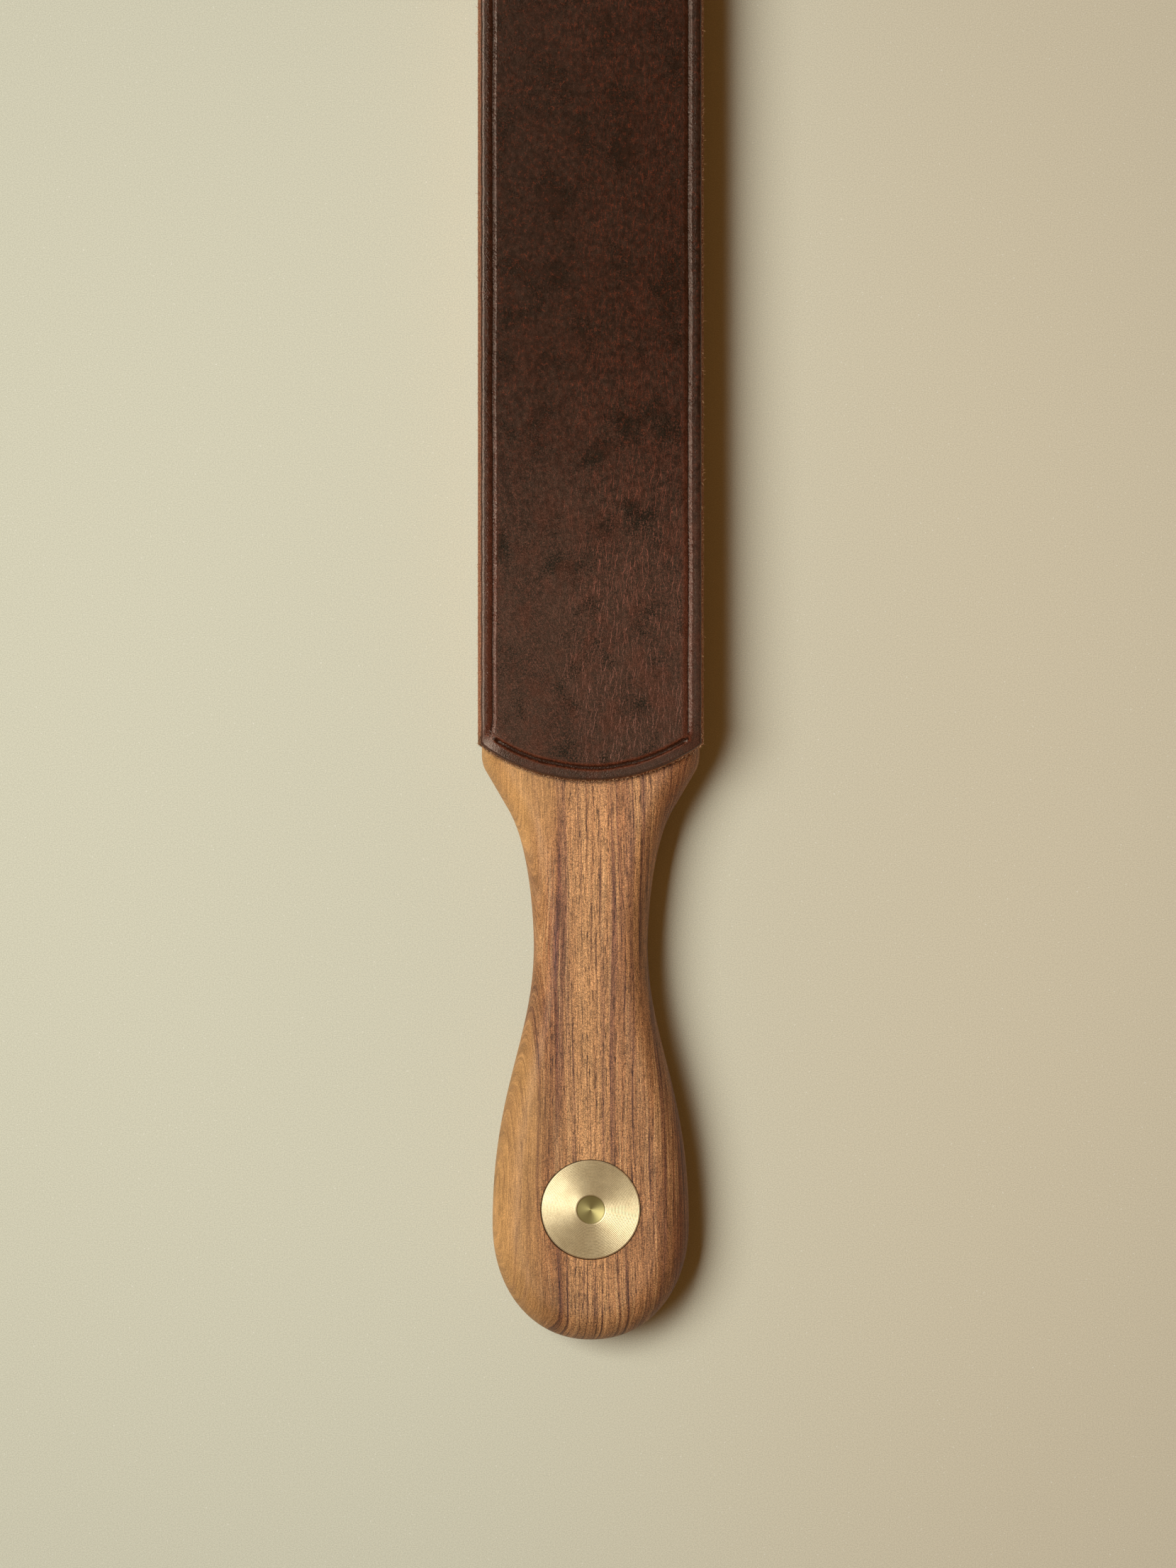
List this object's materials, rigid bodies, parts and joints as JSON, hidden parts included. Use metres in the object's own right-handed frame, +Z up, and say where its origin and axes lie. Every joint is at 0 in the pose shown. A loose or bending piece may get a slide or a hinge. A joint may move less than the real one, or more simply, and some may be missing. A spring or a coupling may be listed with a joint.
{
  "type": "paddle strop",
  "caption": "Leather paddle strop: a rounded walnut handle runs into a flat paddle, faced with smooth leather above and suede below, for honing blades.",
  "frame": {"origin": "under the middle of the strop, on the surface that it lies on, suede side down", "axes": "+X across the paddle; +Y along the strop, from the handle's butt to the free end; +Z up, out of the smooth leather"},
  "size_m": [0.05, 0.34, 0.0225],
  "materials": {
    "walnut": "oiled satin, figured grain along the length",
    "smooth_leather": "waxed smooth grain, mottled, with a tooled border crease and raw tan edges",
    "suede": "napped flesh side",
    "contact_cement": "matt cured glue film",
    "brass": "faced on a lathe, fine concentric rings",
    "epoxy": "cured epoxy film"
  },
  "bodies": {
    "root": {"walnut_handle_and_paddle": "walnut", "smooth_leather": "smooth_leather", "smooth_leather_glue": "contact_cement", "suede_leather": "suede", "suede_leather_glue": "contact_cement", "brass_disc": "brass", "brass_disc_glue": "epoxy"}
  },
  "joints": []
}
